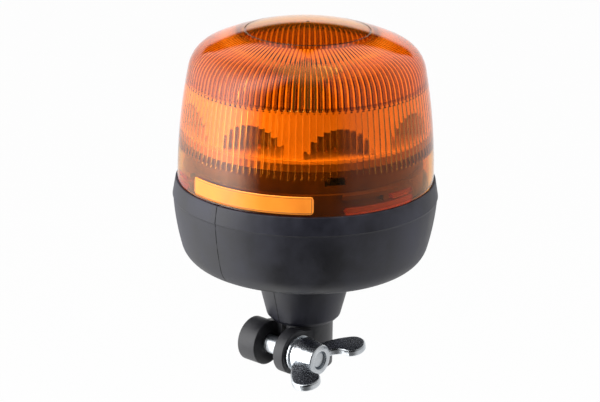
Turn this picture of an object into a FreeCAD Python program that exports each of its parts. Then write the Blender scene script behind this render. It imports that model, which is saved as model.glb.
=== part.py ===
import FreeCAD, Part
import math
import os

# Amber warning beacon on a flexible pole socket. Millimetres, +Z up.
# Origin: centre of the pole socket's mouth. The clamp bolt lies along X, its ears on the -Y side.

V = FreeCAD.Vector
os.makedirs("parts", exist_ok=True)

# ---- pole socket and clamp ---------------------------------------------------------------
BORE_R = 12.6            # takes a 25 mm pole
TUBE_R = 16.1
TUBE_TOP = 43.0
EAR_R = 12.15            # round clamp ears
BOLT_Y = -21.0
BOLT_Z = 15.2
SLOT = 12.8              # clear width between the ears
EAR_LONG = 12.4          # ear that holds the bolt head
EAR_SHORT = 7.2          # ear under the wing nut
EDGE = 0.6               # chamfer on the socket's outer rims
ARM_HALF = 8.7           # half height of an ear's arm where it meets the tube
M = 10.0                 # thread size of the clamp bolt
BOLT_LEN = 40.0
HEAD_AF = 17.0
HEAD_H = 6.4
HOLE_CLEAR = 0.25        # radial, bolt in the ears
WASHER_R, WASHER_T = 10.0, 2.0
SPRING_R, SPRING_T = 9.0, 2.2
NUT_H = 12.0             # hub height
NUT_R = 10.0             # hub radius at the seat
NUT_TOP_R = 8.25
NUT_SPAN = 53.4
NUT_ALL = 25.6           # seat to the top of the wings
WING_R = 7.6             # rounded end of a wing
WING_T = 4.2
WING_ROUND = 1.2
NUT_ROUND = 0.8
WING_TILT = 12.0         # degrees, wings at rest

# ---- lens --------------------------------------------------------------------------------
LENS_R = 68.3
LENS_SIDE, LENS_CORNER, LENS_CROWN = 314.0, 17.6, 125.4
LENS_H = 84.2
LENS_T = 2.6
SOFT_GAP = 0.3
RIBS = 120
RIB_D = 0.8
RIB_LOW, RIB_TOP = 18.0, 53.0
GROOVE_R = 33.0

# ---- rubber foot -------------------------------------------------------------------------
RIM_Z = 107.0            # top of the rubber rim
RIM_R = LENS_R + 1.0     # ledge round the lens
STEP_DZ = 9.3            # step line below the rim
FOOT_R = RIM_R + 1.6     # widest
SIDE_R, HEEL_R, SOLE_R = 136.2, 14.1, 258.0
SIDE_SLOPE = 0.063
SOLE_DZ = 43.0           # from the step to the sole's centre
NECK_TOP_R, NECK_LOW_R = 25.4, 20.05
NECK_TOP_Z, NECK_LOW_Z = 49.9, 29.2
NECK_ROUND = 2.2
WALL = 4.0

# ---- base, bayonet -----------------------------------------------------------------------
SPIGOT_R = LENS_R - LENS_T - 3.1
FLANGE_R = RIM_R - 2.9
LIP_R = RIM_R - 3.1        # inner edge of the rubber lip
LUG_AZ = 88.0            # degrees from -Y towards +X
LUG_SPAN = 15.0
LUG_DZ = 4.6             # lug underside above the rim
LUG_T = 2.6
RAIL_SPAN = 39.0         # degrees, guide rail and ledge over each lug
RAIL_AZ = LUG_AZ - 11.5
RAIL_H, RAIL_T = 3.1, 0.8
VENT_AZ, VENT_SPAN = RAIL_AZ - 22.0, 10.5
VENT_DZ, VENT_H = 13.4, 5.0

# ---- optics and electronics --------------------------------------------------------------
OPTICS = 8
OPTIC_AZ = 12.0
BOARD_Z = RIM_Z + 27.0   # LED board's upper face
BOARD_T = 1.6


def export(node, *solids):
    shape = solids[0] if len(solids) == 1 else Part.makeCompound(list(solids))
    shape.exportStep("parts/%s.step" % node)


def cyl(r, h, x=0.0, y=0.0, z=0.0, axis=(0, 0, 1)):
    return Part.makeCylinder(r, h, V(x, y, z), V(*axis))


def tube(ro, ri, z0, z1):
    return cyl(ro, z1 - z0, z=z0).cut(cyl(ri, z1 - z0, z=z0))


def arc3(a, b, c):
    return Part.Arc(V(*a), V(*b), V(*c)).toShape()


def line(a, b):
    return Part.LineSegment(V(*a), V(*b)).toShape()


def revolved(edges, angle=360.0):
    """Turn a closed chain of edges in the XZ plane about Z."""
    face = Part.Face(Part.Wire(Part.__sortEdges__(edges)))
    return face.revolve(V(0, 0, 0), V(0, 0, 1), angle)


def ring_of(points):
    """Turn a closed polygon of (r, z) corners about Z."""
    pts = [(r, 0.0, z) for r, z in points]
    return revolved([line(pts[i - 1], pts[i]) for i in range(len(pts))])


def turned(shape, degrees):
    out = shape.copy()
    out.rotate(V(0, 0, 0), V(0, 0, 1), degrees)
    return out


def around(shape, count, first=0.0):
    return [turned(shape, first + i * 360.0 / count) for i in range(count)]


def from_front(az):
    """Angle about Z of an azimuth counted from -Y towards +X."""
    return az - 90.0


def sector(r0, r1, z0, z1, middle, span):
    """Ring segment of the given span about an azimuth from the front."""
    box = [line((r0, 0, z0), (r1, 0, z0)), line((r1, 0, z0), (r1, 0, z1)),
           line((r1, 0, z1), (r0, 0, z1)), line((r0, 0, z1), (r0, 0, z0))]
    return turned(revolved(box, span), from_front(middle) - span / 2)


def three_arcs(r0, slope, r_side, r_corner, r_crown, height, off=0.0):
    """Side, corner and crown arcs, tangent to each other, the crown centred on the axis.

    Returns the chain from (r0, 0) up to (0, height), pulled inwards by off.
    """
    cs = (r0 - r_side * math.cos(slope), -r_side * math.sin(slope))
    ck = (0.0, height - r_crown)
    d = math.hypot(ck[0] - cs[0], ck[1] - cs[1])
    a, b = r_side - r_corner, r_crown - r_corner
    x = (a * a - b * b + d * d) / (2 * d)
    h = math.sqrt(a * a - x * x)
    ex = ((ck[0] - cs[0]) / d, (ck[1] - cs[1]) / d)
    both = [(cs[0] + x * ex[0] - s * h * ex[1], cs[1] + x * ex[1] + s * h * ex[0]) for s in (1, -1)]
    cc = max(both)
    a1 = math.atan2(cc[1] - cs[1], cc[0] - cs[0])
    a2 = math.atan2(cc[1] - ck[1], cc[0] - ck[0])
    start = math.asin(-cs[1] / (r_side - off)) if off else slope
    spans = [(cs, r_side - off, start, a1), (cc, r_corner - off, a1, a2),
             (ck, r_crown - off, a2, math.pi / 2)]
    return [[(c[0] + r * math.cos(t), c[1] + r * math.sin(t)) for t in (t0, (t0 + t1) / 2, t1)]
            for c, r, t0, t1 in spans]


def chain(spans, z0=0.0, up=1.0):
    """Arc edges of a three_arcs outline, from z0 upwards or downwards."""
    return [arc3(*[(r, 0, z0 + up * z) for r, z in s]) for s in spans]


def profile_solid(spans, z0, up=1.0):
    first, last = spans[0][0], spans[-1][2]
    ends = [(first[0], 0, z0 + up * first[1]), (0, 0, z0 + up * last[1]), (0, 0, z0 + up * first[1])]
    return revolved(chain(spans, z0, up) + [line(ends[1], ends[2]), line(ends[2], ends[0])])


def cut_by(shape, tools):
    for t in tools:
        shape = shape.cut(t)
    return shape


def hexagon(across, h, x, y, z, axis):
    """Hexagonal prism along X or Z."""
    r = across / math.sqrt(3)
    pts = []
    for i in range(7):
        c, s = r * math.cos(math.pi * i / 3), r * math.sin(math.pi * i / 3)
        pts.append(V(x, y + c, z + s) if axis[0] else V(x + c, y + s, z))
    return Part.Face(Part.makePolygon(pts)).extrude(V(*axis) * h)


# ---- lens --------------------------------------------------------------------------------
lens_z = RIM_Z + SOFT_GAP
outer = profile_solid(three_arcs(LENS_R, 0.0, LENS_SIDE, LENS_CORNER, LENS_CROWN, LENS_H), lens_z)


def side_r(dz):
    return LENS_R - LENS_SIDE + math.sqrt(LENS_SIDE ** 2 - dz ** 2)


def star(dz):
    """Closed wire that steps between the wall and the rib tips at one height."""
    wall = side_r(dz) - LENS_T
    pts = []
    for i in range(RIBS):
        for part, r in ((0.0, wall), (0.45, wall), (0.55, wall - RIB_D), (0.9, wall - RIB_D)):
            a = 2 * math.pi * (i + part) / RIBS
            pts.append(V(r * math.cos(a), r * math.sin(a), lens_z + dz))
    return Part.makePolygon(pts + [pts[0]])


fluted = Part.makeLoft([star(RIB_LOW), star(RIB_TOP)], True, True)
crown_in = profile_solid(
    three_arcs(LENS_R, 0.0, LENS_SIDE, LENS_CORNER, LENS_CROWN, LENS_H, LENS_T), lens_z)
crown_in = crown_in.cut(cyl(LENS_R + 5, RIB_TOP, z=lens_z))
skirt_in = cyl(side_r(RIB_LOW) - LENS_T + 0.3, RIB_LOW, z=lens_z)
lens = cut_by(outer, [skirt_in, fluted, crown_in])
groove = tube(GROOVE_R + 0.5, GROOVE_R - 0.5, RIM_Z + LENS_H - 5.2, RIM_Z + LENS_H)
crown_skin = profile_solid(
    three_arcs(LENS_R, 0.0, LENS_SIDE, LENS_CORNER, LENS_CROWN, LENS_H, 0.4), lens_z)
lens = lens.cut(groove.cut(crown_skin))
lug_z = RIM_Z + LUG_DZ
lens_in = side_r(RIB_LOW) - LENS_T + 0.3
lugs = [sector(SPIGOT_R + 0.4, lens_in + 0.8, lug_z, lug_z + LUG_T, LUG_AZ + 120 * i, LUG_SPAN)
        for i in range(3)]
rails = [sector(lens_in - RAIL_T, lens_in + 0.8, lens_z, lens_z + RAIL_H, RAIL_AZ + 120 * i, RAIL_SPAN)
         for i in range(3)]
lens = lens.fuse(lugs + rails).removeSplitter()
export("dome_lens", lens)
export("rating_label", sector(LENS_R + 0.03, LENS_R + 0.25, RIM_Z + 1.3, RIM_Z + 10.8, 13.4, 60.4))

# ---- base housing with bayonet ledges -------------------------------------------------------
flange_z = RIM_Z - 3.0
drum_r = SPIGOT_R - 2.6
drum_top = RIM_Z + 21.4
drum_in = drum_r - 2.4
floor_z = 68.0
floor_r = SPIGOT_R - 12.6
hook_z = lug_z + LUG_T + 0.3
base = ring_of([
    (0, floor_z), (floor_r, floor_z), (SPIGOT_R - 4, floor_z + 8), (SPIGOT_R, flange_z - 4),
    (FLANGE_R - 1.5, flange_z - 3.5), (FLANGE_R, flange_z - 3.5),
    (FLANGE_R, flange_z), (SPIGOT_R, flange_z), (SPIGOT_R, hook_z + 2.2), (drum_r, hook_z + 2.2),
    (drum_r, drum_top), (drum_in, drum_top), (drum_in, hook_z), (drum_r - 1.6, flange_z - 6),
    (drum_r - 4.2, floor_z + 9.5), (floor_r - 1.4, floor_z + 2.6), (0, floor_z + 2.6)])
post_at = [(22.0 * math.cos(math.radians(a)), 22.0 * math.sin(math.radians(a)))
           for a in (35, 125, 215, 305)]
spacer_r = floor_r - 10
spacer_at = [(spacer_r * math.cos(math.radians(a)), spacer_r * math.sin(math.radians(a)))
             for a in (0, 120, 240)]
parts = [cyl(3.6, drum_top - floor_z - 1, x, y, floor_z + 1) for x, y in post_at]
for i in range(3):
    parts.append(sector(drum_r - 1, lens_in - 0.35, hook_z, hook_z + 2.2, RAIL_AZ + 120 * i, RAIL_SPAN))
    parts.append(sector(drum_r - 1, lens_in - 0.35, lug_z, hook_z + 0.5,
                        LUG_AZ + 120 * i - LUG_SPAN / 2 - 2.0, 3.2))
base = base.fuse(parts)
holes = [cyl(1.7, 14.0, x, y, drum_top - 14) for x, y in post_at]
holes += [cyl(7.0, 6, z=floor_z - 1), cyl(4.0, 6, 0, 34.0, floor_z - 1)]
holes += [sector(drum_in - 1, drum_r + 1, RIM_Z + VENT_DZ, RIM_Z + VENT_DZ + VENT_H,
                 VENT_AZ + 120 * i, VENT_SPAN) for i in range(3)]
base = cut_by(base, holes).removeSplitter()
export("base_housing", base)
export("breather_plug", cyl(3.97, 2.6, 0, 34.0, floor_z))
export("lens_seal", ring_of([(SPIGOT_R + 0.4, flange_z), (LIP_R - 0.2, flange_z), (LIP_R - 0.2, RIM_Z - 0.6),
                             (LIP_R - 0.8, RIM_Z), (LIP_R - 1.6, RIM_Z), (SPIGOT_R + 0.4, RIM_Z - 1.8)]))

# ---- rubber foot ------------------------------------------------------------------------------
step_z = RIM_Z - STEP_DZ
bowl = (FOOT_R - 0.3, SIDE_SLOPE, SIDE_R, HEEL_R, SOLE_R, SOLE_DZ)
neck_slope = (NECK_TOP_R - NECK_LOW_R) / (NECK_TOP_Z - NECK_LOW_Z)
sole_z = step_z - SOLE_DZ
neck_up = sole_z + 4.0
neck_r = NECK_LOW_R + neck_slope * (neck_up - NECK_LOW_Z)
low = NECK_LOW_Z - NECK_ROUND
foot = profile_solid(three_arcs(*bowl), step_z, -1.0)
foot = foot.fuse([
    Part.makeCone(FOOT_R, RIM_R, STEP_DZ, V(0, 0, step_z)),
    revolved([line((0, 0, neck_up), (neck_r, 0, neck_up)),
              line((neck_r, 0, neck_up), (NECK_LOW_R, 0, NECK_LOW_Z)),
              arc3((NECK_LOW_R, 0, NECK_LOW_Z),
                   (NECK_LOW_R - 0.3 * NECK_ROUND, 0, NECK_LOW_Z - 0.7 * NECK_ROUND),
                   (NECK_LOW_R - NECK_ROUND, 0, low)),
              line((NECK_LOW_R - NECK_ROUND, 0, low), (0, 0, low)),
              line((0, 0, low), (0, 0, neck_up))])])
bead_z = [33.0, 38.5]
bore_soft = TUBE_R + SOFT_GAP
throat = [(0, low - 1), (bore_soft, low - 1)]
for z in bead_z:
    throat += [(bore_soft, z - 0.3), (bore_soft + 1.5, z - 0.3),
               (bore_soft + 1.5, z + 2.3), (bore_soft, z + 2.3)]
throat += [(bore_soft, TUBE_TOP), (19.0, sole_z + WALL + 2.5), (0, sole_z + WALL + 2.5)]
foot = cut_by(foot, [
    profile_solid(three_arcs(*bowl, WALL), step_z, -1.0),
    cyl(FOOT_R - 0.3 - WALL, flange_z - 3.5 - step_z + 0.01, z=step_z - 0.01),
    cyl(FLANGE_R + 0.1, 3.6, z=flange_z - 3.55),
    cyl(LIP_R, 4.0, z=flange_z),
    ring_of(throat)])
export("rubber_foot", foot.Solids[0])

# ---- optics -----------------------------------------------------------------------------------
board_low = BOARD_Z - BOARD_T
sink_low = board_low - 4.0
DROP = 3.5               # bowl axis below the board's face
FOCUS = 4.75
BOWL_DEPTH = 19.0
OPEN_R = drum_r - 3.0    # bowls' mouths
VERTEX = OPEN_R - BOWL_DEPTH
MIRROR_T = 1.2           # moulded wall of the reflectors
MIRROR_H = 26.0          # outer wall
HUB_R = 16.0             # reflectors' centre hole
CAP_CROWN = 2.6          # rise of the cover over the optics


def bowl_solid(grow):
    """Paraboloid about the X axis, its mouth outwards, lowered by DROP."""
    x0, x1 = VERTEX - grow, OPEN_R + 4
    f = FOCUS
    pts = [V(x0 + (x1 - x0) * (i / 8) ** 2, 0, 0) for i in range(9)]
    curve = Part.BSplineCurve()
    curve.interpolate([V(p.x, 0, math.sqrt(4 * f * (p.x - x0)) + grow * i / 8.0)
                       for i, p in enumerate(pts)])
    top = curve.EndPoint
    face = Part.Face(Part.Wire([curve.toShape(), line((x1, 0, top.z), (x1, 0, 0)),
                                line((x1, 0, 0), (x0, 0, 0))]))
    out = face.revolve(V(0, 0, 0), V(1, 0, 0), 360)
    out.translate(V(0, 0, BOARD_Z - DROP))
    return out


ring_low = BOARD_Z + 0.2
ring_top = ring_low + MIRROR_H
wall_r = OPEN_R + 1.0
plate = tube(wall_r, HUB_R, ring_low, ring_low + 1.6)
ring = plate.fuse([tube(wall_r, wall_r - MIRROR_T, ring_low, ring_top)]
                  + around(bowl_solid(MIRROR_T), OPTICS, from_front(OPTIC_AZ)))
ring = ring.common(tube(wall_r, HUB_R, ring_low, ring_top))
ring = cut_by(ring, around(bowl_solid(0.0), OPTICS, from_front(OPTIC_AZ)))
ring = cut_by(ring, [cyl(2.2, 5, x, y, BOARD_Z - 1) for x, y in post_at])
export("reflector_ring", max(ring.removeSplitter().Solids, key=lambda s: s.Volume))
cap_in = wall_r - MIRROR_T - 0.05
cap_edge = ring_top + 0.8
cap_r = (wall_r ** 2 + CAP_CROWN ** 2) / (2 * CAP_CROWN)
cap_mid = cap_edge + CAP_CROWN - cap_r + math.sqrt(cap_r ** 2 - wall_r ** 2 / 4)
lip = [(0, ring_top + 1.8), (cap_in - 1.4, ring_top), (cap_in - 1.4, ring_top - 3.0),
       (cap_in, ring_top - 3.0), (cap_in, ring_top), (wall_r, ring_top), (wall_r, cap_edge)]
crown = arc3((wall_r, 0, cap_edge), (wall_r / 2, 0, cap_mid), (0, 0, cap_edge + CAP_CROWN))
lip = [(r, 0, z) for r, z in [(0, cap_edge + CAP_CROWN)] + lip]
export("reflector_cap", revolved([line(p, q) for p, q in zip(lip, lip[1:])] + [crown]))
board = tube(drum_r - 0.6, 12.0, board_low, BOARD_Z)
export("led_board", cut_by(board, [cyl(2.2, 5, x, y, board_low - 1) for x, y in post_at]))
led_r = VERTEX + FOCUS
chip = Part.makeBox(3.6, 3.6, 0.8, V(led_r - 1.8, -1.8, BOARD_Z)).fuse(
    Part.makeSphere(1.5, V(led_r, 0, BOARD_Z + 0.6), V(0, 0, 1), 0, 90))
export("leds", *around(chip, OPTICS, from_front(OPTIC_AZ)))
fin = Part.makeBox(drum_r - 34.0, 1.6, 12.0, V(27.0, -0.8, sink_low - 11))
sink = tube(drum_r, 12.0, sink_low, board_low).fuse(around(fin, 24, 7.5))
sink = cut_by(sink, [cyl(2.2, 20, x, y, sink_low - 8) for x, y in post_at])
export("heat_sink", sink.removeSplitter())
screws = [cyl(1.65, 20.0, x, y, BOARD_Z + 1.8 - 20).fuse(
    cyl(3.4, 2.4, x, y, BOARD_Z + 1.8)).cut(hexagon(2.5, 1.5, x, y, BOARD_Z + 2.9, (0, 0, 1)))
    for x, y in post_at]
export("optic_screws", *screws)

# ---- driver -------------------------------------------------------------------------------------
pcb_z = 84.0
pcb = cyl(floor_r - 1.0, 1.6, z=pcb_z)
pcb = cut_by(pcb, [cyl(4.2, 3, x, y, pcb_z - 1) for x, y in post_at]
               + [cyl(1.65, 3, x, y, pcb_z - 1) for x, y in spacer_at])
export("driver_board", pcb)
spacers = [hexagon(6.0, pcb_z - floor_z - 2.6, x, y, floor_z + 2.6, (0, 0, 1)).cut(
    cyl(1.65, 8, x, y, pcb_z - 7)) for x, y in spacer_at]
export("board_spacers", *spacers)
export("board_screws", *[cyl(1.5, 6.0, x, y, pcb_z + 1.6 - 6).fuse(cyl(2.9, 1.9, x, y, pcb_z + 1.6))
                         for x, y in spacer_at])
top = pcb_z + 1.6
coil = Part.makeTorus(7.5, 3.2, V(-2, 3, top + 3.2))
export("inductor", coil)
export("capacitors", *[cyl(5.0, 13.0, x, y, top) for x, y in ((31, -18), (22, -30))])
export("driver_chip", Part.makeBox(7, 6, 1.7, V(-28, -4, top)))
block = Part.makeBox(16, 8, 10, V(-8, -38, top)).cut(Part.makeBox(18, 4, 4, V(-9, -39, top + 7)))
export("terminal_block", cut_by(block, [cyl(1.6, 6, x, -32.0, top + 5) for x in (-4.0, 4.0)]))

# ---- pole socket ---------------------------------------------------------------------------------
stop_z = 29.0
web_top = 33.0
ear0, ear1 = -SLOT / 2 - EAR_LONG, SLOT / 2
seat_x = ear1 + EAR_SHORT
head_x = -SLOT / 2 - 5.0


def rims(solid):
    """The round edges of a solid."""
    return [e for e in solid.Edges if isinstance(e.Curve, Part.Circle)]


def ear(x0, length):
    """Round clamp ear about the bolt, its rims chamfered."""
    disc = cyl(EAR_R, length, x0, BOLT_Y, BOLT_Z, (1, 0, 0))
    return disc.makeChamfer(EDGE, rims(disc))


def arm(x0):
    """Arm from an ear back to the tube, narrowing towards it."""
    back = -BOLT_Y - 6.0
    corners = [(0, EAR_R - EDGE), (back, ARM_HALF), (back, -ARM_HALF), (0, EDGE - EAR_R)]
    wire = Part.makePolygon([V(x0, BOLT_Y + y, BOLT_Z + z) for y, z in corners + corners[:1]])
    return Part.Face(wire).extrude(V(EAR_SHORT, 0, 0))


rod = cyl(TUBE_R, TUBE_TOP)
body = rod.makeChamfer(EDGE, rims(rod)).fuse(
    [ear(ear0, EAR_LONG), arm(-SLOT / 2 - EAR_SHORT), ear(ear1, EAR_SHORT), arm(ear1)]
    + [cyl(TUBE_R + 1.2, 2.0, z=z) for z in bead_z])
body = cut_by(body, [
    cyl(BORE_R, stop_z),
    cyl(9.0, 8.0, z=stop_z - 1),
    cyl(TUBE_R - 2.4, TUBE_TOP, z=web_top),
    Part.makeBox(3.0, TUBE_R + 2, stop_z - 1, V(-1.5, -TUBE_R - 2, 0)),
    cyl(M / 2 + HOLE_CLEAR, 60, -30, BOLT_Y, BOLT_Z, (1, 0, 0)),
    hexagon(HEAD_AF + 0.3, 12, head_x - 12, BOLT_Y, BOLT_Z, (1, 0, 0))])
export("pole_socket", body.removeSplitter())

bolt = hexagon(HEAD_AF, HEAD_H, head_x - HEAD_H, BOLT_Y, BOLT_Z, (1, 0, 0)).fuse([
    cyl(M / 2, BOLT_LEN - 1.0, head_x, BOLT_Y, BOLT_Z, (1, 0, 0)),
    Part.makeCone(M / 2, M / 2 - 1.0, 1.0, V(head_x + BOLT_LEN - 1.0, BOLT_Y, BOLT_Z), V(1, 0, 0))])
export("clamp_bolt", bolt.removeSplitter())


def disc_x(r, ri, x0, t):
    return cyl(r, t, x0, BOLT_Y, BOLT_Z, (1, 0, 0)).cut(cyl(ri, t, x0, BOLT_Y, BOLT_Z, (1, 0, 0)))


export("plain_washer", disc_x(WASHER_R, M / 2 + 0.25, seat_x, WASHER_T))
split = Part.makeBox(SPRING_T, 2.0, SPRING_R + 1, V(seat_x + WASHER_T, BOLT_Y - 1, BOLT_Z))
export("spring_washer", disc_x(SPRING_R, M / 2 + 0.1, seat_x + WASHER_T, SPRING_T).cut(split))

# ---- wing nut ---------------------------------------------------------------------------------------
nut_x = seat_x + WASHER_T + SPRING_T
lobe_s, lobe_x = NUT_SPAN / 2 - WING_R, NUT_ALL - WING_R


def at(s, x):
    return (nut_x + x, s, 0.0)


def on_lobe(deg):
    return at(lobe_s + WING_R * math.cos(math.radians(deg)),
              lobe_x + WING_R * math.sin(math.radians(deg)))


outline = [arc3(on_lobe(-40), on_lobe(50), on_lobe(155)),
           arc3(on_lobe(155), at(NUT_TOP_R + 2.6, NUT_H + 2.6), at(NUT_TOP_R - 3.0, NUT_H - 0.8)),
           line(at(NUT_TOP_R - 3.0, NUT_H - 0.8), at(6.6, 2.2)),
           line(at(6.6, 2.2), at(NUT_R - 1.0, 1.4)),
           arc3(at(NUT_R - 1.0, 1.4), at(NUT_R + 6.4, 5.4), on_lobe(-40))]
wing = Part.Face(Part.Wire(Part.__sortEdges__(outline))).extrude(V(0, 0, WING_T))
wing.translate(V(0, 0, -WING_T / 2))
wing = wing.makeFillet(WING_ROUND, rims(wing))
other = wing.copy()
other.rotate(V(0, 0, 0), V(1, 0, 0), 180)
hub = Part.makeCone(NUT_R, NUT_TOP_R, NUT_H, V(nut_x, 0, 0), V(1, 0, 0))
nut = hub.makeFillet(NUT_ROUND, rims(hub)).fuse([wing, other]).cut(cyl(M / 2 + 0.04, NUT_H + 2, nut_x - 1, 0, 0, (1, 0, 0)))
nut = nut.removeSplitter()
nut.rotate(V(0, 0, 0), V(1, 0, 0), WING_TILT)
nut.translate(V(0, BOLT_Y, BOLT_Z))
export("wing_nut", nut)

# ---- centre contact --------------------------------------------------------------------------------
PIN_R = 2.55
PIN_TIP = stop_z + 0.3
CHAMBER_R = 5.0
CHAMBER_Z, CHAMBER_TOP = web_top + 1.0, web_top + 10.0
COLLAR_T = 1.5
WIRE_R = 0.36
export("contact_insulator", ring_of([
    (PIN_R + 0.05, stop_z + 2.5), (8.95, stop_z + 2.5), (8.95, web_top), (11.0, web_top),
    (11.0, web_top + 2), (CHAMBER_R + 2.4, web_top + 2), (CHAMBER_R + 2.4, CHAMBER_TOP + 2),
    (CHAMBER_R, CHAMBER_TOP + 2), (CHAMBER_R, CHAMBER_Z), (PIN_R + 0.05, CHAMBER_Z)]))
export("contact_pin", ring_of([
    (0, PIN_TIP), (PIN_R - 1, PIN_TIP), (PIN_R, PIN_TIP + 1), (PIN_R, CHAMBER_Z),
    (CHAMBER_R - 0.4, CHAMBER_Z), (CHAMBER_R - 0.4, CHAMBER_Z + COLLAR_T), (1.5, CHAMBER_Z + COLLAR_T), (1.5, CHAMBER_TOP + 2.4),
    (0, CHAMBER_TOP + 2.8)]))
export("contact_cap", tube(CHAMBER_R - 0.03, 1.6, CHAMBER_TOP, CHAMBER_TOP + 2))
spring_r = 3.3
spring_h = CHAMBER_TOP - CHAMBER_Z - COLLAR_T - 2 * WIRE_R - 0.1
helix = Part.makeHelix(spring_h / 4.5, spring_h, spring_r)
tip = Part.Wire(Part.makeCircle(WIRE_R, V(spring_r, 0, 0), V(0, 1, 0)))
coil = Part.Wire(helix.Edges).makePipeShell([tip], True, True)
coil.translate(V(0, 0, CHAMBER_Z + COLLAR_T + WIRE_R + 0.05))
export("contact_spring", coil)
tag = Part.makeBox(1.9, 5.0, 0.8, V(11.1, -2.5, web_top)).fuse(
    Part.makeBox(0.8, 5.0, 9.0, V(12.2, -2.5, web_top)))
export("earth_tag", tag.removeSplitter())
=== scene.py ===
import math

import bmesh
import bpy
import numpy as np
from mathutils import Matrix, Vector


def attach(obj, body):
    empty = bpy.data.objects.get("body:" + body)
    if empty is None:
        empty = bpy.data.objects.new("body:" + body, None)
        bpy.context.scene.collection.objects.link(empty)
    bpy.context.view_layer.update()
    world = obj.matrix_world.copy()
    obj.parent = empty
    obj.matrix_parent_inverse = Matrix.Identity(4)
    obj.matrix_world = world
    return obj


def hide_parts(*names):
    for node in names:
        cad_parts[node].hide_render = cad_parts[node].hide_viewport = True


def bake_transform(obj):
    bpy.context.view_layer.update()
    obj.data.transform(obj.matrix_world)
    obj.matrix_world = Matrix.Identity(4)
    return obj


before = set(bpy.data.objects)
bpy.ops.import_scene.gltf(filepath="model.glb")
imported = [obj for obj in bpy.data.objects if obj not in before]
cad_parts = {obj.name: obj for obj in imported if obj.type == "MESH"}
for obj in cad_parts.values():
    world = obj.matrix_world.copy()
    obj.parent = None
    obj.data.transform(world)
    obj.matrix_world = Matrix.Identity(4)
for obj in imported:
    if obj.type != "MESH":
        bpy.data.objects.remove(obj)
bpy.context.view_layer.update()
MM = 0.001

# ---- sizes, in millimetres; azimuths in degrees from -Y towards +X ------------------------
RIM_Z, RIM_R, STEP_Z, FOOT_R = 107.0, 69.3, 97.7, 70.9
LENS_R, LENS_H, LENS_T = 68.3, 84.2, 2.6
LENS_SIDE, LENS_CORNER, LENS_CROWN = 314.0, 17.6, 125.4
LENS_Z = RIM_Z + 0.3
LENS_ARCS = (LENS_R, 0.0, LENS_SIDE, LENS_CORNER, LENS_CROWN, LENS_H)
BOWL_ARCS = (FOOT_R - 0.3, 0.063, 136.2, 14.1, 258.0, 43.0)
RIBS = 120
TIER_LOW, TIER_MID = 18.0, 53.0
LOW_DEPTH, HIGH_DEPTH = 0.5, 1.8
HIGH_BASE = 0.25                        # how far the upper tier stands in at its valleys
RING_R, RING_DEPTH = 33.0, 0.25         # groove round the crown's disc
PIP_R, PIP_DEPTH = 0.7, 0.6             # gate pip in the crown's middle
LUG_AZ, LUG_SPAN, LUG_DZ = 88.0, 15.0, 4.6
RAIL_AZ, RAIL_SPAN = 76.5, 39.0
LABEL_AZ, LABEL_SPAN = 13.4, 60.4
LABEL_Z, LABEL_H, LABEL_CORNER, LABEL_T = 108.3, 9.5, 1.6, 0.12
SEAM_AZ, SEAM_HALF = -0.5, 0.28
MIRROR_R, WALL_R = 56.4, 56.8           # the reflector's coat ends between them
BOLT = (-21.0, 15.2)                    # y and z of its axis
PITCH = 1.5
FLOOR_Z, FLOOR_R = -700.0, 4000.0

# ---- camera and light ----------------------------------------------------------------------
CAMERA_AZ = 40.0
CAMERA_EL, CAMERA_ROLL = 0.3159, 0.015  # radians
CAMERA_FAR = 1.150                      # metres
CAMERA_LENS, CAMERA_SHIFT = 129.3, (-5.6 / 600, -25.6 / 600)
EVEN = 0.48                             # level of the plain light
LEAST_THROUGH = 0.22                    # least level that transmitted rays meet
TENT_TOP = 5.0
TENT = [(-180, 1.0), (-150, 0.8), (-130, 1.3), (-115, 1.8), (-95, 2.9), (-75, 4.2), (-62, 3.3), (-50, 1.0),
        (-40, 0.0), (27, 0.0), (45, 0.3), (90, 0.4), (125, 0.65), (150, 0.8), (180, 1.0)]


# ---- meshes ------------------------------------------------------------------------------
def link(name, verts, faces, depth=None):
    """A mesh object from vertex rows in millimetres and a list of faces, depth (a painted shade mask) kept
    as an attribute.
    """
    mesh = bpy.data.meshes.new(name)
    mesh.from_pydata(np.asarray(verts, float) * MM, [], faces)
    if depth is not None:
        mesh.attributes.new("depth", "FLOAT", "POINT").data.foreach_set("value", depth.ravel())
    mesh.update()
    bm = bmesh.new()
    bm.from_mesh(mesh)
    bmesh.ops.remove_doubles(bm, verts=bm.verts, dist=1e-6)
    bmesh.ops.dissolve_degenerate(bm, dist=1e-7, edges=bm.edges)
    bmesh.ops.recalc_face_normals(bm, faces=bm.faces)
    bm.to_mesh(mesh)
    bm.free()
    mesh.shade_smooth()
    obj = bpy.data.objects.new(name, mesh)
    bpy.context.scene.collection.objects.link(obj)
    return obj


def grid_faces(nu, nv, close_u=True, start=0):
    """Quads between neighbours of an nu by nv grid of points stored row by row."""
    iu = np.arange(nu if close_u else nu - 1)
    iv = np.arange(nv - 1)
    a, b = np.meshgrid(iu, iv, indexing="ij")
    a1, b1 = (a + 1) % nu, b + 1
    quads = np.stack([a * nv + b, a1 * nv + b, a1 * nv + b1, a * nv + b1], -1)
    return (quads.reshape(-1, 4) + start).tolist()


def turned(name, profile, n):
    """Surface of revolution: the point at angle t is (r cos t, r sin t, h)."""
    r, h = np.asarray(profile, float).T
    t = np.linspace(0, 2 * math.pi, n, endpoint=False)
    x, y = np.outer(np.cos(t), r), np.outer(np.sin(t), r)
    pts = np.stack([x, y, np.broadcast_to(h, x.shape)], -1)
    return link(name, pts.reshape(-1, 3), grid_faces(n, len(r)))


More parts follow.
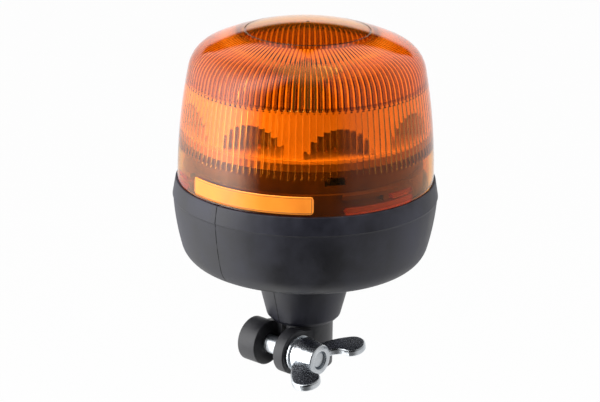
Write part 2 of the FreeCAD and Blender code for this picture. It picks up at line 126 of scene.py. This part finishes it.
def rounded(points, radii, steps):
    """A polygon's (r, h) corners, each replaced by an arc tangent to its two sides."""
    out = []
    pts = [np.array(p, float) for p in points]
    for i, (p, rad) in enumerate(zip(pts, radii)):
        if rad <= 0 or i in (0, len(pts) - 1):
            out.append(p)
            continue
        a, b = pts[i - 1] - p, pts[i + 1] - p
        la, lb = np.hypot(*a), np.hypot(*b)
        a, b = a / la, b / lb
        half = 0.5 * math.acos(np.clip(a @ b, -1, 1))
        cut = min(rad / math.tan(half), 0.49 * la, 0.49 * lb)
        rad = cut * math.tan(half)
        mid = (a + b) / np.hypot(*(a + b))
        centre = p + mid * rad / math.sin(half)
        v0, v1 = p + a * cut - centre, p + b * cut - centre
        t0 = math.atan2(v0[1], v0[0])
        dt = (math.atan2(v1[1], v1[0]) - t0 + math.pi) % (2 * math.pi) - math.pi
        for k in range(steps + 1):
            t = t0 + dt * k / steps
            out.append(centre + rad * np.array([math.cos(t), math.sin(t)]))
    return np.array(out)


def three_arcs(r0, slope, r_side, r_corner, r_crown, height, off=0.0, *, n):
    """Side, corner and crown arcs tangent to each other, from (r0, 0) to (0, height), moved in by off."""
    cs = np.array([r0 - r_side * math.cos(slope), -r_side * math.sin(slope)])
    ck = np.array([0.0, height - r_crown])
    gap = ck - cs
    d = np.hypot(*gap)
    a, b = r_side - r_corner, r_crown - r_corner
    x = (a * a - b * b + d * d) / (2 * d)
    h = math.sqrt(a * a - x * x)
    ex = gap / d
    ey = np.array([-ex[1], ex[0]])
    cc = max(cs + x * ex + h * ey, cs + x * ex - h * ey, key=lambda p: p[0])
    a1 = math.atan2(*(cc - cs)[::-1])
    a2 = math.atan2(*(cc - ck)[::-1])
    start = math.asin(-cs[1] / (r_side - off))
    rows = []
    for c, r, t0, t1, k in ((cs, r_side - off, start, a1, n[0]), (cc, r_corner - off, a1, a2, n[1]),
                            (ck, r_crown - off, a2, math.pi / 2, n[2])):
        t = np.linspace(t0, t1, k)[1 if rows else 0:]
        rows.append(np.stack([c[0] + r * np.cos(t), c[1] + r * np.sin(t)], -1))
    out = np.concatenate(rows)
    out[-1, 0] = 0.0
    return out


def finish_with(obj, kind, **settings):
    """Adds one modifier with its settings."""
    mod = obj.modifiers.new(kind.title(), kind)
    for key, value in settings.items():
        setattr(mod, key, value)


def applied(obj):
    """Bakes the object's modifiers into its mesh."""
    dg = bpy.context.evaluated_depsgraph_get()
    mesh = bpy.data.meshes.new_from_object(obj.evaluated_get(dg))
    obj.modifiers.clear()
    obj.data = mesh


def softened(name, node, width, segments=3):
    """A CAD node's shape with its sharp edges rounded."""
    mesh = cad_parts[node].data.copy()
    mesh.name = name
    bm = bmesh.new()
    bm.from_mesh(mesh)
    bmesh.ops.remove_doubles(bm, verts=bm.verts, dist=2e-6)
    bmesh.ops.dissolve_limit(bm, angle_limit=math.radians(0.6), verts=bm.verts, edges=bm.edges)
    bm.to_mesh(mesh)
    bm.free()
    obj = bpy.data.objects.new(name, mesh)
    bpy.context.scene.collection.objects.link(obj)
    finish_with(obj, "BEVEL", width=width * MM, segments=segments, limit_method="ANGLE",
                angle_limit=math.radians(38), harden_normals=False)
    applied(obj)
    obj.data.shade_smooth()
    obj.data.set_sharp_from_angle(angle=math.radians(35))
    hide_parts(node)
    return obj


# ---- shader maths ------------------------------------------------------------------------
class Value:
    """A number from a node; the operators add Math nodes."""

    def __init__(self, tree, socket):
        self.tree, self.socket = tree, socket

    def math(self, operation, *others):
        return self.tree.node("ShaderNodeMath", {"operation": operation}, self, *others)

    def __add__(self, o): return self.math("ADD", o)
    def __radd__(self, o): return self.math("ADD", o)
    def __sub__(self, o): return self.math("SUBTRACT", o)
    def __rsub__(self, o): return self.tree.node("ShaderNodeMath", {"operation": "SUBTRACT"}, o, self)
    def __mul__(self, o): return self.math("MULTIPLY", o)
    def __pow__(self, o): return self.math("POWER", o)
    def __lt__(self, o): return self.math("LESS_THAN", o)
    def __gt__(self, o): return self.math("GREATER_THAN", o)

    def between(self, low, high, to_low=0.0, to_high=1.0):
        """0 to 1 (or other ends) as the value goes from low to high, held outside."""
        return self.tree.node("ShaderNodeMapRange", {"clamp": True}, self, low, high, to_low, to_high)


class Finish:
    """One material and its nodes."""

    def __init__(self, name):
        self.mat = bpy.data.materials.new(name)
        self.mat.use_nodes = True
        self.nt = self.mat.node_tree
        self.nt.nodes.clear()
        self.out = self.nt.nodes.new("ShaderNodeOutputMaterial")

    def node(self, kind, settings=None, *inputs, output=0, **named):
        n = self.nt.nodes.new(kind)
        for key, value in (settings or {}).items():
            if key == "stops":
                ramp = n.color_ramp.elements
                for i, (pos, col) in enumerate(value):
                    e = ramp[i] if i < 2 else ramp.new(pos)
                    e.position, e.color = pos, (*col, 1.0)
            else:
                setattr(n, key, value)
        for i, v in enumerate(inputs):
            self.feed(n.inputs[i], v)
        for key, v in named.items():
            self.feed(n.inputs[key.replace("_", " ")], v)
        return Value(self, n.outputs[output])

    def feed(self, socket, v):
        if isinstance(v, Value):
            self.nt.links.new(v.socket, socket)
        elif v is not None:
            if isinstance(v, tuple) and len(v) == 3 and socket.type == "RGBA":
                v = (*v, 1.0)
            socket.default_value = v

    def place(self):
        return self.node("ShaderNodeTexCoord", output=3)

    def along(self, axis):
        return self.node("ShaderNodeSeparateXYZ", {}, self.place(), output="XYZ".index(axis))

    def noise(self, scale, detail=3.0, rough=0.5, stretch=None):
        spot = self.place()
        if stretch:
            spot = self.node("ShaderNodeMapping", {}, spot, Scale=stretch)
        return self.node("ShaderNodeTexNoise", {}, Vector=spot, Scale=scale, Detail=detail, Roughness=rough)

    def mix(self, factor, a, b):
        n = self.nt.nodes.new("ShaderNodeMix")
        n.data_type = "RGBA"
        self.feed(n.inputs[0], factor)
        self.feed(n.inputs[6], a)
        self.feed(n.inputs[7], b)
        return Value(self, n.outputs[2])

    def bump(self, height, strength, distance):
        return self.node("ShaderNodeBump", {}, Strength=strength, Distance=distance, Height=height)

    def surface(self, **sockets):
        n = self.nt.nodes.new("ShaderNodeBsdfPrincipled")
        for key, v in sockets.items():
            self.feed(n.inputs[key.replace("_", " ")], v)
        self.nt.links.new(n.outputs[0], self.out.inputs[0])
        self.shader = n
        return self

    def wear(self, obj):
        obj.data.materials.clear()
        obj.data.materials.append(self.mat)
        return obj


def amber_lens(clear_part=1.0):
    """Clear amber polycarbonate with painted shade, darker where depth is 1 (dark bands painted across the
    inner ribs); lamps pass it as they pass tinted film.
    """
    f = Finish("amber_lens")
    haze = f.noise(28.0, 2.0, 0.4)
    # painted shade: where the depth attribute is 1 the colour turns near black and half metallic, standing
    # in for the dark inside seen through the ribs
    painted_rib_shade = f.node("ShaderNodeAttribute", {"attribute_name": "depth"}, output=2)
    clear = f.mix(haze, (1.0, 0.40, 0.045), (1.0, 0.37, 0.035))
    f.surface(Base_Color=f.mix(painted_rib_shade, clear, (0.16, 0.02, 0.001)), Metallic=painted_rib_shade * 0.5,
              Roughness=haze.between(0.35, 0.7, 0.01, 0.03), IOR=1.5, Transmission_Weight=clear_part)
    lamp = f.node("ShaderNodeLightPath", output=1)
    film = f.node("ShaderNodeBsdfTransparent", {}, (1.0, 0.65, 0.22))
    both = f.node("ShaderNodeMixShader", {}, lamp, Value(f, f.shader.outputs[0]), film)
    f.nt.links.new(both.socket, f.out.inputs[0])
    return f


def black_rubber():
    """Matte moulded rubber with bloom, smudges and a fine grain."""
    f = Finish("black_rubber")
    smudge = f.noise(30.0, 5.0, 0.66)
    streak = f.noise(60.0, 3.0, 0.5, (1.0, 1.0, 0.25))
    bloom = (smudge * 0.65 + streak * 0.35).between(0.40, 0.64)
    grain = f.noise(2600.0, 2.0, 0.5)
    f.surface(Base_Color=f.mix(bloom, (0.004, 0.004, 0.007), (0.020, 0.0205, 0.030)),
              Roughness=bloom.between(0.0, 1.0, 0.42, 0.58), Specular_IOR_Level=0.5,
              Normal=f.bump(grain, 0.12, 0.0002))
    return f


def coated_metal():
    """Satin black coat with a fine orange peel."""
    f = Finish("coated_metal")
    peel = f.noise(1500.0, 2.0, 0.5)
    dust = f.noise(80.0, 4.0, 0.6)
    f.surface(Base_Color=f.mix(dust.between(0.4, 0.7), (0.011, 0.011, 0.013),
                               (0.026, 0.026, 0.029)),
              Roughness=dust.between(0.3, 0.7, 0.36, 0.5), Normal=f.bump(peel, 0.18, 0.0002))
    return f


def plastic(name, dark, pale, rough=0.45, scale=60.0):
    """Moulded plastic with slight mottling and texture."""
    f = Finish(name)
    mottle = f.noise(scale, 4.0, 0.55)
    f.surface(Base_Color=f.mix(mottle.between(0.35, 0.7), dark, pale),
              Roughness=mottle.between(0.3, 0.7, rough - 0.06, rough + 0.08),
              Normal=f.bump(f.noise(1800.0, 2.0), 0.1, 0.0002))
    return f


def metal(name, dark, pale, rough, grain=(1.0, 1.0, 1.0), bump=0.12):
    """Metal with a cloudy plating and fine marks."""
    f = Finish(name)
    cloud = f.noise(120.0, 5.0, 0.6)
    marks = f.noise(900.0, 3.0, 0.6, grain)
    f.surface(Base_Color=f.mix(cloud.between(0.3, 0.7), dark, pale), Metallic=1.0,
              Roughness=(cloud * 0.5 + marks * 0.5).between(0.35, 0.65, rough - 0.05, rough + 0.09),
              Normal=f.bump(marks, bump, 0.0002))
    return f


def label_film():
    """Orange film label with a thin dark border and nothing inside it."""
    f = Finish("label_film")
    uv = f.node("ShaderNodeUVMap", {"uv_map": "film"})
    u = f.node("ShaderNodeSeparateXYZ", {}, uv, output=0)
    v = f.node("ShaderNodeSeparateXYZ", {}, uv, output=1)
    edge_u = (u - 0.5).math("ABSOLUTE")
    edge_v = (v - 0.5).math("ABSOLUTE")
    ends = (edge_u > 0.484) * (edge_u < 0.488)
    frame_line = ends.math("MAXIMUM", (edge_v > 0.40) * (edge_v < 0.43))
    inside = (edge_u < 0.488) * (edge_v < 0.43)
    ink = (frame_line * inside) * 0.85
    paper = f.noise(90.0, 3.0, 0.5)
    base = f.mix(paper.between(0.35, 0.65), (0.74, 0.20, 0.008), (0.80, 0.24, 0.012))
    f.surface(Base_Color=f.mix(ink, base, (0.10, 0.04, 0.02)),
              Roughness=paper.between(0.3, 0.7, 0.32, 0.4), Coat_Weight=0.3)
    return f


# ---- lens --------------------------------------------------------------------------------
def lens_shell():
    """Closed shell: outer arcs, bottom edge, then the inner arcs with ribs cut into them.

    With p the place across a rib, 0 to 1, the lower tier is cut |sin(pi p)| deep, rib by rib rounded
    at its lower end, and the upper tier is a prism 1 - |2 p - 1|, its slope growing from the ring out.
    """
    across = np.array([0.0, 0.08, 0.24, 0.44, 0.56, 0.76, 0.92])
    p = np.tile(across, RIBS)[:, None]
    t = (np.repeat(np.arange(RIBS), len(across))[:, None] + p) * (2 * math.pi / RIBS)
    out = three_arcs(*LENS_ARCS, n=(14, 14, 22))[::-1]
    near = np.array([0.5 - RING_R, 0.9 - RING_R, -0.45, -0.1, 0.1, 0.45]) + RING_R
    near_z = LENS_H - LENS_CROWN + np.sqrt(LENS_CROWN ** 2 - near ** 2)
    out = np.concatenate([out, np.stack([near, near_z], -1)])
    out = out[np.argsort(out[:, 0] - out[:, 1])]
    depth = np.interp(out[:, 0], [RING_R - 0.45, RING_R - 0.1, RING_R + 0.1, RING_R + 0.45],
                      [0, RING_DEPTH, RING_DEPTH, 0])
    depth = depth * (out[:, 1] > 60) + PIP_DEPTH * (out[:, 0] < PIP_R)
    out[:, 1] -= depth
    fine = three_arcs(*LENS_ARCS, off=LENS_T, n=(400, 120, 240))
    side = np.concatenate([np.linspace(0.0, 17.0, 4), np.linspace(17.6, 20.6, 7), np.linspace(23, 50.0, 9),
                           np.array([51.0, 51.6, 52.2, 52.6, 53.0, 53.6, 54.4, 56, 58])])
    length = np.concatenate([[0], np.cumsum(np.hypot(*np.diff(fine, axis=0).T))])
    s_side = np.interp(side, fine[:, 1], length)
    r_rest = np.concatenate([np.linspace(60.0, 48.0, 12), np.linspace(46.0, 34.4, 7),
                             np.array([33.9, 33.4, 32.9, 26, 18, 9, 0.0])])
    s_rest = np.interp(-r_rest, -fine[:, 0], length)
    s_rest = s_rest[s_rest > s_side[-1] + 0.5]
    s = np.concatenate([s_side, s_rest])
    r = np.interp(s, length, fine[:, 0])
    z = np.interp(s, length, fine[:, 1])
    dr = np.interp(s + 0.2, length, fine[:, 0]) - np.interp(s - 0.2, length, fine[:, 0])
    dz = np.interp(s + 0.2, length, fine[:, 1]) - np.interp(s - 0.2, length, fine[:, 1])
    size = np.hypot(dr, dz)
    nr, nz = -dz / size, dr / size
    wave = np.sin(math.pi * p)
    prism = np.clip(1.0 - np.abs(2 * p - 1), 0.10, 0.94) - 0.10
    start = TIER_LOW + 1.6 * (1 - wave)
    low = np.clip((z - start) / 0.8, 0, 1) * (z < TIER_MID - 1.0)
    begin = TIER_MID - 0.6 + 1.4 * (1 - wave)
    grow = np.clip((r - RING_R - 0.5) / 17.0, 0, 1) ** 1.3
    high = np.clip((z - begin) / 0.6, 0, 1) * grow * r / 66.0
    h = LOW_DEPTH * wave * low + HIGH_DEPTH * prism * high - HIGH_BASE * (z > TIER_MID) * grow
    inner_r, inner_z = r + nr * h, z + nz * h
    inner_r[:, -1] = 0.0
    n = len(t)
    outer_r = np.broadcast_to(out[:, 0], (n, len(out)))
    outer_z = np.broadcast_to(out[:, 1], (n, len(out)))
    rr = np.concatenate([outer_r, inner_r], 1)
    zz = np.concatenate([outer_z, inner_z], 1) + LENS_Z
    pts = np.stack([rr * np.cos(t), rr * np.sin(t), zz], -1)
    # painted shade: bands across each upper-tier rib from r = 40 mm outwards, clear only in the thin strips
    # where the ribs meet, and a faint darkening towards the lower-tier ribs' edges; inner face only
    bar = np.clip((0.5 - np.abs(p - 0.5) - 0.08) / 0.1, 0, 1)
    painted_rib_shade = bar * high * np.clip((r - 40.0) / 6.0, 0, 1) + 0.12 * low * np.abs(2 * p - 1)
    painted_rib_shade = np.concatenate([np.zeros_like(outer_r), painted_rib_shade * (r < 65.9)], 1)
    obj = link("lens_shell", pts.reshape(-1, 3), grid_faces(n, rr.shape[1]), depth=painted_rib_shade)
    obj.data.set_sharp_from_angle(angle=math.radians(17))
    return obj


lens = amber_lens().wear(lens_shell())
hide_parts("dome_lens")
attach(lens, "lens")


def lens_lugs():
    """Bayonet lugs and guide rails inside the skirt: box profiles with round corners carried round by t."""
    parts_v, parts_f = [], []
    lug = rounded([(63.1, 0), (66.2, 0), (66.2, 2.6), (63.1, 2.6), (63.1, 0)], [0, 0.2, 0.2, 0.5, 0], 3)
    rail = rounded([(64.7, 0), (66.2, 0), (66.2, 3.1), (64.7, 3.1), (64.7, 0)], [0, 0.2, 0.2, 0.4, 0], 3)
    for prof, low, middle, span in ((lug, RIM_Z + LUG_DZ, LUG_AZ, LUG_SPAN),
                                    (rail, LENS_Z, RAIL_AZ, RAIL_SPAN)):
        mid = prof.mean(0)
        n = int(span)
        shrink = np.ones(n)
        shrink[[0, -1]] = 0.0
        pr = mid + (prof - mid) * shrink[:, None, None]
        for k in range(3):
            t = np.radians(middle + 120 * k - 90 + np.linspace(-0.5, 0.5, n) * span)[:, None]
            pts = np.stack([pr[..., 0] * np.cos(t), pr[..., 0] * np.sin(t), pr[..., 1] + low], -1)
            start = sum(len(v) for v in parts_v)
            parts_v.append(pts.reshape(-1, 3))
            parts_f += grid_faces(n, len(prof), False, start)
    return link("lens_lugs", np.concatenate(parts_v), parts_f)


lugs = lens_lugs()
amber_lens(0.95).wear(lugs)
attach(lugs, "lens")


def label_strip():
    """A bowed strip: (u, v) to angle and height, corners rounded by pulling v in near the ends."""
    nu, nv = 90, 12
    u = np.linspace(0, 1, nu)[:, None]
    v = np.linspace(0, 1, nv)[None, :]
    first = LABEL_AZ - LABEL_SPAN / 2
    az = np.radians(first + LABEL_SPAN * u - 90)
    from_end = np.minimum(u, 1 - u) * math.radians(LABEL_SPAN) * LENS_R
    pull = LABEL_CORNER - np.sqrt(
        np.maximum(LABEL_CORNER ** 2 - np.maximum(LABEL_CORNER - from_end, 0) ** 2, 0))
    z = LABEL_Z + pull + (LABEL_H - 2 * pull) * v
    r = LENS_R - LENS_SIDE + np.sqrt(LENS_SIDE ** 2 - (z - LENS_Z) ** 2) + LABEL_T
    pts = np.stack([r * np.cos(az), r * np.sin(az), z], -1)
    obj = link("label_strip", pts.reshape(-1, 3), grid_faces(nu, nv, False))
    layer = obj.data.uv_layers.new(name="film")
    co = np.zeros(len(obj.data.vertices) * 3)
    obj.data.vertices.foreach_get("co", co)
    co = co.reshape(-1, 3) / MM
    ang = (np.degrees(np.arctan2(co[:, 1], co[:, 0])) + 90 - first) / LABEL_SPAN
    uv = np.stack([ang, (co[:, 2] - LABEL_Z) / LABEL_H], -1)
    loops = np.zeros(len(obj.data.loops), int)
    obj.data.loops.foreach_get("vertex_index", loops)
    layer.data.foreach_set("uv", uv[loops].ravel())
    finish_with(obj, "SOLIDIFY", thickness=LABEL_T * MM, offset=-1)
    return obj


label = label_film().wear(label_strip())
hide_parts("rating_label")
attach(label, "lens")


# ---- rubber foot -------------------------------------------------------------------------
def foot_profile():
    """Closed (r, z) outline: lip, band, step, bowl arcs, neck cone, bore, and back up inside."""
    arcs = three_arcs(*BOWL_ARCS, n=(22, 16, 26))
    bowl = np.stack([arcs[:, 0], STEP_Z - arcs[:, 1]], -1)
    bowl = bowl[bowl[:, 0] > 29.0]
    soft = three_arcs(*BOWL_ARCS, off=4.0, n=(12, 10, 12))
    inner = np.stack([soft[:, 0], STEP_Z - soft[:, 1]], -1)
    inner = inner[inner[:, 0] > 22.0][::-1]
    top = rounded([(66.2, 104.0), (66.2, RIM_Z), (RIM_R, RIM_Z), (FOOT_R, STEP_Z),
                   (FOOT_R - 0.35, STEP_Z - 0.25)], [0, 0.3, 0.5, 0.12, 0], 4)
    neck = rounded([(29.0, 56.4), (26.8, 55.8), (25.4, 49.9), (20.05, 29.2), (17.9, 27.0), (16.4, 27.0)],
                   [0, 1.8, 60.0, 2.2, 0.6, 0], 7)
    bore = np.array([(16.4, 27.0), (16.4, 43.0), (19.0, 58.0), (22.0, 60.0)])
    return np.concatenate([top, bowl[1:], neck[1:], bore[1:], inner,
                           [(66.5, 100.45), (66.5, 104.0), (66.2, 104.0)]])


foot = turned("foot_shell", foot_profile(), 256)


def rubber_with_seam():
    """The foot's rubber with its fine mould line on the clamp's side."""
    f = black_rubber()
    x, y = f.along("X"), f.along("Y")
    seam = math.radians(SEAM_AZ)
    off = (x * math.cos(seam) + y * math.sin(seam)).math("ABSOLUTE")
    broken = f.noise(150.0, 2.0, 0.5).between(0.42, 0.5)
    line = (off < SEAM_HALF * MM) * (y < 0.0) * (0.45 + broken * 0.55)
    rough = f.shader.inputs["Roughness"].links[0].from_socket
    f.feed(f.shader.inputs["Roughness"], Value(f, rough) + line * 0.5)
    old = f.shader.inputs["Base Color"].links[0].from_socket
    f.feed(f.shader.inputs["Base Color"], f.mix(line, Value(f, old), (0.001, 0.001, 0.001)))
    return f


rubber_with_seam().wear(foot)
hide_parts("rubber_foot")
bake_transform(foot)


# ---- clamp -------------------------------------------------------------------------------
socket = coated_metal().wear(softened("socket_body", "pole_socket", 0.55))
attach(socket, "socket")


def zinc(name, bump=0.12, rough=0.2):
    return metal(name, (0.62, 0.66, 0.70), (0.80, 0.83, 0.86), rough, bump=bump)


def threaded_zinc():
    """Zinc-plated bolt with the thread's ridges 1.5 mm apart."""
    f = zinc("bolt_zinc", 0.05, 0.34)
    ridge = (f.along("X") * (2 * math.pi / (PITCH * MM))).math("SINE") * 0.5 + 0.5
    f.feed(f.shader.inputs["Normal"], f.bump(ridge, 0.15, 0.0003))
    return f


bolt = threaded_zinc().wear(softened("bolt_body", "clamp_bolt", 0.3))
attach(bolt, "socket")


def washer_ring(name, x0, thick, r_in, r_out, gap=0.0, rise=0.0):
    """Ring about the bolt: rounded box profile carried round, its ends offset by rise along the bolt."""
    prof = rounded([(r_in, 0), (r_out, 0), (r_out, thick), (r_in, thick), (r_in, 0)],
                   [0, 0.35, 0.35, 0.2, 0], 4)
    n = 128
    open_part = gap / r_out
    a = np.linspace(0, 2 * math.pi - open_part, n, endpoint=gap > 0)[:, None]
    a = a + math.pi / 2 + open_part / 2
    lift = rise * (a - a[0]) / (2 * math.pi)
    pts = np.stack([x0 + prof[:, 1] + lift, BOLT[0] + prof[:, 0] * np.cos(a),
                    BOLT[1] + prof[:, 0] * np.sin(a)], -1)
    faces = grid_faces(n, len(prof), gap == 0)
    if gap:
        m = len(prof) - 1
        faces += [list(range(m)), list(range((n - 1) * len(prof), (n - 1) * len(prof) + m))]
    return link(name, pts.reshape(-1, 3), faces)


plain = zinc("washer_zinc").wear(washer_ring("washer_plain", 13.6, 2.0, 5.25, 10.0))
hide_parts("plain_washer")
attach(plain, "washers")
spring = zinc("spring_zinc", 0.2, 0.26).wear(washer_ring("washer_spring", 15.62, 1.9, 5.15, 9.0, 1.8, 0.24))
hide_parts("spring_washer")
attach(spring, "washers")


nut = zinc("nut_zinc", 0.4, 0.24).wear(softened("nut_casting", "wing_nut", 0.45, 4))
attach(nut, "nut")


# ---- pieces kept from the frame ------------------------------------------------------------
def reflector_coat():
    """Metallised bowls in a pale satin wall, told apart by their distance from the axis."""
    f = metal("mirror_coat", (0.84, 0.84, 0.84), (0.92, 0.92, 0.92), 0.1, bump=0.03)
    x, y = f.along("X"), f.along("Y")
    wall = ((x * x + y * y) ** 0.5).between(MIRROR_R * MM, WALL_R * MM)
    mottle = f.noise(90.0, 3.0, 0.5)
    f.feed(f.shader.inputs["Metallic"], 1.0 - wall * 0.9)
    f.feed(f.shader.inputs["Roughness"], wall * 0.2 + mottle.between(0.3, 0.7, 0.2, 0.28))
    return f


FINISHES = {
    "base_housing": plastic("base_black", (0.045, 0.042, 0.040), (0.075, 0.070, 0.066), 0.42),
    "lens_seal": plastic("seal_rubber", (0.015, 0.015, 0.016), (0.035, 0.035, 0.037), 0.65, 140.0),
    "breather_plug": plastic("plug_plastic", (0.62, 0.60, 0.54), (0.72, 0.70, 0.64), 0.5),
    "reflector_ring": reflector_coat(),
    "reflector_cap": plastic("cover_plastic", (0.56, 0.56, 0.53), (0.66, 0.66, 0.63), 0.3),
    "led_board": plastic("white_board", (0.70, 0.70, 0.66), (0.84, 0.84, 0.80), 0.35, 200.0),
    "leds": plastic("led_resin", (0.80, 0.55, 0.10), (0.92, 0.72, 0.22), 0.2, 300.0),
    "heat_sink": metal("cast_alloy", (0.60, 0.61, 0.62), (0.76, 0.77, 0.78), 0.38, bump=0.3),
    "optic_screws": zinc("screw_zinc"), "board_screws": zinc("small_screw_zinc"),
    "driver_board": plastic("green_board", (0.015, 0.13, 0.045), (0.03, 0.2, 0.08), 0.35, 220.0),
    "board_spacers": metal("spacer_brass", (0.66, 0.48, 0.20), (0.78, 0.60, 0.30), 0.25, (8.0, 8.0, 1.0)),
    "inductor": metal("winding_copper", (0.48, 0.20, 0.08), (0.66, 0.32, 0.14), 0.3, (1.0, 1.0, 6.0), 0.5),
    "capacitors": plastic("can_sleeve", (0.02, 0.022, 0.03), (0.05, 0.055, 0.07), 0.3),
    "driver_chip": plastic("chip_epoxy", (0.02, 0.02, 0.02), (0.04, 0.04, 0.042), 0.5, 400.0),
    "terminal_block": plastic("terminal_plastic", (0.03, 0.10, 0.03), (0.05, 0.16, 0.05), 0.4),
    "contact_insulator": plastic("insulator_plastic", (0.60, 0.57, 0.50), (0.70, 0.67, 0.60), 0.45),
    "contact_cap": plastic("cap_plastic", (0.58, 0.56, 0.50), (0.68, 0.66, 0.60), 0.45),
    "contact_pin": metal("pin_brass", (0.68, 0.50, 0.22), (0.80, 0.62, 0.32), 0.22, (1.0, 1.0, 6.0)),
    "contact_spring": metal("spring_steel", (0.42, 0.43, 0.44), (0.6, 0.6, 0.61), 0.3),
    "earth_tag": metal("tag_brass", (0.66, 0.49, 0.22), (0.78, 0.6, 0.32), 0.3),
}
for node, made in FINISHES.items():
    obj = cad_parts[node]
    obj.data.materials.clear()
    obj.data.materials.append(made.mat)


# ---- camera, lights, surroundings ------------------------------------------------------------
az, el, roll = math.radians(CAMERA_AZ), CAMERA_EL, CAMERA_ROLL
back = np.array([math.cos(el) * math.sin(az), -math.cos(el) * math.cos(az), math.sin(el)])
right = np.array([math.cos(az), math.sin(az), 0.0])
up = np.cross(back, right)
centre = np.array([0.0, 0.0, RIM_Z * MM])


def camera():
    """A long lens that looks along -back at the middle, with its own right and up turned by the roll."""
    r = math.cos(roll) * right + math.sin(roll) * up
    u = math.cos(roll) * up - math.sin(roll) * right
    data = bpy.data.cameras.new("camera")
    data.sensor_width = 36.0
    data.lens = CAMERA_LENS
    data.shift_x, data.shift_y = CAMERA_SHIFT
    data.clip_end = 20.0
    obj = bpy.data.objects.new("camera", data)
    m = Matrix.Identity(4)
    for i, axis in enumerate((r, u, back)):
        for k in range(3):
            m[k][i] = float(axis[k])
    for k in range(3):
        m[k][3] = float(centre[k] + CAMERA_FAR * back[k])
    obj.matrix_world = m
    bpy.context.scene.collection.objects.link(obj)
    bpy.context.scene.camera = obj


def softbox(name, place, aim, size, power):
    """Area lamp at right, up and back offsets from the middle, in metres; mirrors and glass miss it."""
    data = bpy.data.lights.new(name, "AREA")
    data.shape, data.size, data.size_y = "RECTANGLE", size[0], size[1]
    data.energy = power
    obj = bpy.data.objects.new(name, data)
    flat_back = np.array([math.sin(az), -math.cos(az), 0.0])

    def spot(p):
        return Vector((centre + p[0] * right + p[1] * np.array([0, 0, 1.0]) + p[2] * flat_back).tolist())
    obj.location = spot(place)
    obj.rotation_euler = (spot(aim) - obj.location).to_track_quat("-Z", "Y").to_euler()
    obj.visible_glossy = obj.visible_transmission = False
    bpy.context.scene.collection.objects.link(obj)


def surroundings():
    """A light tent for glossy and transmitted rays, white for camera rays, the level EVEN for the rest.

    The tent stands still in the frame, with azimuth a from CAMERA_AZ (left negative) and elevation e.
    Its level is side(a) * fade(e) plus a pale roof, nothing inside the rear opening
    |180 - a| < 0.8 (57 - e), e > 15 degrees, and a glow from below. Transmitted rays meet at least
    LEAST_THROUGH.
    """
    world = bpy.data.worlds.new("studio")
    bpy.context.scene.world = world
    world.use_nodes = True
    w = Finish.__new__(Finish)
    w.nt = world.node_tree
    w.nt.nodes.clear()
    ray = w.node("ShaderNodeTexCoord", output=0)

    def along(axis):
        return w.node("ShaderNodeVectorMath", {"operation": "DOT_PRODUCT"}, ray, tuple(axis), output=1)
    across = along((math.cos(az), math.sin(az), 0.0))
    turn = across.math("ARCTAN2", along((math.sin(az), -math.cos(az), 0.0))) * (180 / math.pi)
    rise = along((0.0, 0.0, 1.0)).math("ARCSINE") * (180 / math.pi)
    lean = turn + turn.math("SIGN") * rise.between(0.0, 60.0, 0.0, 18.0)
    stops = [((a + 180) / 360, (v / TENT_TOP,) * 3) for a, v in TENT]
    side = w.node("ShaderNodeValToRGB", {"stops": stops}, lean.between(-180.0, 180.0)) * TENT_TOP
    wall = side * rise.between(30.0, 80.0, 1.0, 0.12)
    roof = rise.between(48.0, 75.0, 0.0, 0.35)
    behind = 180.0 - turn.math("ABSOLUTE")
    gap = ((57.0 - rise) * 0.8 - behind).between(0.0, 4.0) * rise.between(13.0, 17.0)
    ground_glow = rise.between(-30.0, -11.0, 0.62, 0.0)
    ground_glow = ground_glow * (180.0 - behind).between(15.0, 65.0, 0.22, 1.0)
    level = (wall + roof) * (1.0 - gap) * rise.between(-28.0, -11.0, 0.4, 1.0) + ground_glow
    seen = w.node("ShaderNodeLightPath", output=0)
    through = w.node("ShaderNodeLightPath", output=6)
    mirrored = w.node("ShaderNodeLightPath", output=3).math("MAXIMUM", through)
    level = level.math("MAXIMUM", through * LEAST_THROUGH)
    unseen = EVEN + mirrored * (level - EVEN)
    strength = unseen + seen * (1.0 - unseen)
    ground = w.nt.nodes.new("ShaderNodeBackground")
    ground.inputs[0].default_value = (1.0, 1.0, 1.0, 1.0)
    w.feed(ground.inputs[1], strength)
    out = w.nt.nodes.new("ShaderNodeOutputWorld")
    w.nt.links.new(ground.outputs[0], out.inputs[0])


def floor():
    """Pale disc far below the part, glowing for camera rays and clear for glossy and transmitted rays."""
    spokes, rings = 64, 24
    t = np.linspace(0, 2 * math.pi, spokes, endpoint=False)[:, None]
    r = np.linspace(0, FLOOR_R, rings)[None, :]
    pts = np.stack([r * np.cos(t), r * np.sin(t), np.full_like(r * t, FLOOR_Z)], -1)
    obj = link("floor", pts.reshape(-1, 3), grid_faces(spokes, rings))
    f = Finish("floor_paper")
    tone = f.noise(3.0, 2.0, 0.4)
    f.surface(Base_Color=f.mix(tone, (0.80, 0.80, 0.80), (0.84, 0.84, 0.84)), Roughness=0.9)
    glow = f.nt.nodes.new("ShaderNodeEmission")
    glow.inputs[1].default_value = 1.0
    seen = f.node("ShaderNodeLightPath", output=0)
    shown = f.node("ShaderNodeMixShader", {}, seen * 0.97, Value(f, f.shader.outputs[0]),
                   Value(f, glow.outputs[0]))
    through = f.node("ShaderNodeLightPath", output=6)
    mirrored = f.node("ShaderNodeLightPath", output=3).math("MAXIMUM", through)
    both = f.node("ShaderNodeMixShader", {}, mirrored, shown, f.node("ShaderNodeBsdfTransparent"))
    f.nt.links.new(both.socket, f.out.inputs[0])
    f.wear(obj)


camera()
softbox("left_box", (-0.9, 0.35, 0.25), (0, 0, 0), (0.7, 1.1), 20.0)
softbox("right_box", (0.95, 0.3, 0.1), (0, 0, 0), (0.6, 1.0), 14.0)
softbox("top_box", (-0.1, 1.0, 0.15), (0, 0, 0), (0.8, 0.6), 18.0)
surroundings()
floor()
bpy.context.scene.view_settings.view_transform = "Standard"
